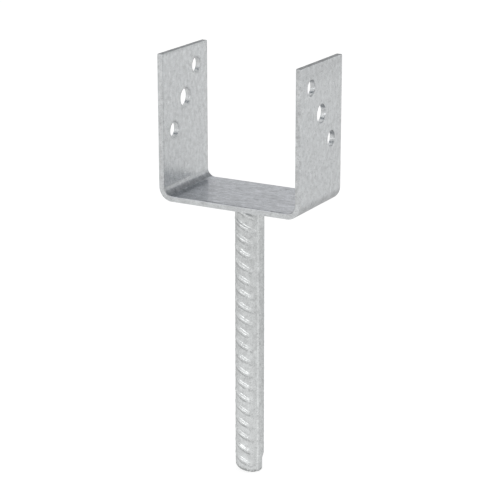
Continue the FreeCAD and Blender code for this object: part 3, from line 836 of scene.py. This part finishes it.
def bar_zinc(settings):
    """Galvanised rolled bar: pale zinc, a little streaked where it drained down the bar."""
    material, add = new_material("hot_dip_galvanised_bar")
    place = add("ShaderNodeTexCoord", out=3)
    lengthwise = add("ShaderNodeMapping", {"Vector": place, "Scale": (1.0, 1.0, 0.3)})
    streaks = add(NOISE, {"Vector": lengthwise, "Scale": 1 / BAR_STREAK, "Detail": 2.0})
    # This attribute carries painted shade under the ribs and on the ribs along the bar, a painted highlight
    # along their flanks, and the rough rim of the sheared end.
    rough_part = add("ShaderNodeAttribute", attribute_name="rough_part", out=2)
    specks = add(NOISE, {"Vector": place, "Scale": 1 / BAR_SPECK, "Detail": 1.0})
    specks = add(MAP_RANGE, [specks, 0.42, 0.58, 0.3, 1.2])
    rough_part = add("MULTIPLY", [rough_part, specks])
    zinc_coat(add, settings, place, settings.bar_tone[:3], streaks, 0.26, rough_part)
    return material


def weld_zinc(settings):
    """Galvanised weld metal: the same zinc, a shade duller on the rippled bead."""
    material, add = new_material("hot_dip_galvanised_weld")
    place = add("ShaderNodeTexCoord", out=3)
    streaks = add(NOISE, {"Vector": place, "Scale": 1 / WELD_STREAK, "Detail": 2.0})
    zinc_coat(add, settings, place, settings.weld_tone[:3], streaks, 0.3)
    return material


# Studio.

# Brightness that the metal mirrors, where 1 is white: the paper all round, the paper behind on the right,
# and the dark room over the paper. AMBIENT lights what is matt.
PAPER, BRIGHT_PAPER, DARK_ROOM = 1.07, 1.8, 0.16
AMBIENT = 0.6
ROOM_TINT = (0.70, 0.84, 1.0, 1)

# The floor shows as white as SEEN_FLOOR. A grey part of it takes real light, so that the shadow stays, and
# gives back GREY_LIGHT where nothing shades it.
SEEN_FLOOR = 1.15
FLOOR_GREY, GREY_LIGHT = (0.42, 0.42, 0.42, 1), 0.36
FLOOR_HALF = 8.0
FLOOR_GAP = 0.2 * MM

WHITE = (1, 1, 1, 1)


def seen_rays(add):
    """1 for rays that show the background: camera, glossy and transmission rays."""
    path = add("ShaderNodeLightPath").node.outputs
    seen = add("MAXIMUM", [path["Is Camera Ray"], path["Is Glossy Ray"]])
    return add("MAXIMUM", [seen, path["Is Transmission Ray"]])


def backdrop_strength(add, mirrored, seen=1.0):
    """As bright as seen to the camera, and as bright as mirrored to glossy rays."""
    path = add("ShaderNodeLightPath").node.outputs
    return add(MIX, {0: path["Is Camera Ray"], 2: mirrored, 3: seen})


def studio_room():
    """Even light all round. The metal mirrors white paper low down and a darker room over it."""
    world = bpy.data.worlds.new("studio")
    add = node_adder(world)
    towards = add("ShaderNodeTexCoord")

    def facing(direction, first, last):
        """Goes from 0 to 1 as a ray turns towards a direction."""
        turn = add(VECTOR_MATH, [towards, direction], operation="DOT_PRODUCT", out=1)
        return add(MAP_RANGE, [turn, first, last, 0.0, 1.0])

    # Behind, the paper ends above the saddle. Over the front on the left there is a gap between the lamps.
    behind = facing((0.25, 0.95, 0), 0.45, 0.7)
    above = facing((0.29, 0, 0.96), 0.46, 0.54)
    lamp_gap = facing((-0.46, -0.30, 0.83), 0.95, 0.985)
    dark = add("MAXIMUM", [add("MULTIPLY", [behind, above]), lamp_gap])
    bright_side = facing((0.48, 0.87, 0), 0.6, 0.9)
    paper = add(MIX, {0: bright_side, 2: PAPER, 3: BRIGHT_PAPER})
    mirrored = add(MIX, {0: dark, 2: paper, 3: DARK_ROOM})
    tint = add(MIX, {0: dark, 6: WHITE, 7: ROOM_TINT}, out=2, data_type="RGBA")

    ambient = add("ShaderNodeBackground", {"Color": WHITE, "Strength": AMBIENT})
    strength = backdrop_strength(add, mirrored)
    backdrop = add("ShaderNodeBackground", {"Color": tint, "Strength": strength})
    shown = add("ShaderNodeMixShader", [seen_rays(add), ambient, backdrop])
    add("ShaderNodeOutputWorld", [shown])
    return world


def floor_finish(settings):
    """Seamless white studio paper: matt, and lifted to white where it is seen, with the shadow kept."""
    material, add = new_material("studio_paper")
    paper = add("ShaderNodeBsdfDiffuse", {"Color": settings.floor})
    grey = add("ShaderNodeBsdfDiffuse", {"Color": FLOOR_GREY})

    # How bright the metal mirrors it, by distance from the object: in front of it a painted pool of light,
    # brightest near the object; behind it a painted shadow about half a metre out, lighter nearer and
    # further.
    place = add("ShaderNodeTexCoord", out=3)
    away = add(VECTOR_MATH, [place], operation="LENGTH", out=1)
    turn = add(VECTOR_MATH, [place], operation="NORMALIZE")
    turn = add("ShaderNodeSeparateXYZ", [turn]).node.outputs["Y"]
    front = add(MAP_RANGE, [away, 0.1, 0.5, 1.3, 0.98])
    near = add(MAP_RANGE, [away, 0.1, 0.5, 1.1, 0.92])
    far = add(MAP_RANGE, [away, 0.5, 0.68, 0.92, 1.14])
    back = add("MAXIMUM", [near, far])
    mirrored = add(MAP_RANGE, [turn, -0.4, 0.5, front, back])

    lift = add("SUBTRACT", [backdrop_strength(add, mirrored, SEEN_FLOOR), GREY_LIGHT])
    glow = add("ShaderNodeEmission", {"Color": WHITE, "Strength": lift})
    lifted = add("ShaderNodeAddShader", [grey, glow])
    shown = add("ShaderNodeMixShader", [seen_rays(add), paper, lifted])
    add("ShaderNodeOutputMaterial", [shown])
    return material


def add_softbox(name, place, aim, width, height, power):
    """A white lamp of that size in metres and power in watts, which faces the place that it is aimed at."""
    light = bpy.data.lights.new(name, "AREA")
    light.shape = "RECTANGLE"
    light.size, light.size_y = width, height
    light.energy = power
    lamp = bpy.data.objects.new(name, light)
    lamp.location = place
    lamp.rotation_euler = (Vector(aim) - Vector(place)).to_track_quat("-Z", "Y").to_euler()
    bpy.context.scene.collection.objects.link(lamp)


class POSTBASE_OT_stage(bpy.types.Operator):
    """Builds the pale floor, the soft studio light and the camera"""

    bl_idname = "post_base.stage"
    bl_label = "Stage"

    def execute(self, context):
        settings = context.scene.post_base_stage
        low = CAD_BOX[0].z - FLOOR_GAP
        corners = [(x * FLOOR_HALF, y * FLOOR_HALF, low) for x, y in ((-1, -1), (1, -1), (1, 1), (-1, 1))]
        mesh = bpy.data.meshes.new("floor")
        mesh.from_pydata(corners, [], [(0, 1, 2, 3)])
        mesh.materials.append(floor_finish(settings))
        floor = bpy.data.objects.new("floor", mesh)
        context.scene.collection.objects.link(floor)

        context.scene.world = studio_room()
        # Low and wide in front, where the crests of the ribs mirror it.
        add_softbox("front_softbox", (0.28, -1.6, 0.52), (0, 0, -0.05), width=2.3, height=0.45, power=5.4)

        self.add_camera(context, settings)
        context.scene.view_settings.view_transform = "Standard"
        return {"FINISHED"}

    def add_camera(self, context, settings):
        """Aims the camera at the bar, a little to the right of its axis."""
        level = math.cos(settings.elevation)
        sine, cosine = math.sin(settings.azimuth), math.cos(settings.azimuth)
        back = Vector((sine * level, -cosine * level, math.sin(settings.elevation)))
        aside = Vector((cosine, sine, 0)) * settings.aim_aside
        camera = bpy.data.objects.new("camera", bpy.data.cameras.new("camera"))
        camera.location = aside - Vector((0, 0, settings.aim_depth)) + back * settings.distance
        camera.rotation_euler = back.to_track_quat("Z", "Y").to_euler()
        camera.data.sensor_width = 36.0
        camera.data.lens = settings.lens
        camera.data.clip_start = 0.05
        camera.data.clip_end = 50.0
        context.scene.collection.objects.link(camera)
        context.scene.camera = camera


class POSTBASE_PT_panel(bpy.types.Panel):
    """Lists the pieces of the post base"""

    bl_idname = "POSTBASE_PT_panel"
    bl_label = "Post Base"
    bl_space_type = "VIEW_3D"
    bl_region_type = "UI"
    bl_category = "Post Base"

    def draw(self, context):
        for operator, settings in PIECES:
            column = self.layout.column(align=True)
            column.operator(operator.bl_idname)
            group = getattr(context.scene, settings)
            for name in group.bl_rna.properties.keys():
                if name not in ("rna_type", "name"):
                    column.prop(group, name)


SETTINGS = {
    "post_base_saddle": SaddleSettings,
    "post_base_bar": BarSettings,
    "post_base_weld": WeldSettings,
    "post_base_zinc": ZincSettings,
    "post_base_stage": StageSettings,
}
PIECES = [
    (POSTBASE_OT_saddle, "post_base_saddle"),
    (POSTBASE_OT_anchor_bar, "post_base_bar"),
    (POSTBASE_OT_weld_bead, "post_base_weld"),
    (POSTBASE_OT_stage, "post_base_stage"),
]


def register():
    for group in SETTINGS.values():
        bpy.utils.register_class(group)
    for name, group in SETTINGS.items():
        setattr(bpy.types.Scene, name, PointerProperty(type=group))
    for operator, _ in PIECES:
        bpy.utils.register_class(operator)
    bpy.utils.register_class(POSTBASE_PT_panel)


def unregister():
    bpy.utils.unregister_class(POSTBASE_PT_panel)
    for operator, _ in reversed(PIECES):
        bpy.utils.unregister_class(operator)
    for name, group in reversed(SETTINGS.items()):
        delattr(bpy.types.Scene, name)
        bpy.utils.unregister_class(group)


def main():
    register()
    bpy.ops.post_base.saddle()
    bpy.ops.post_base.anchor_bar()
    bpy.ops.post_base.weld_bead()
    bpy.ops.post_base.stage()


if __name__ == "__main__":
    main()
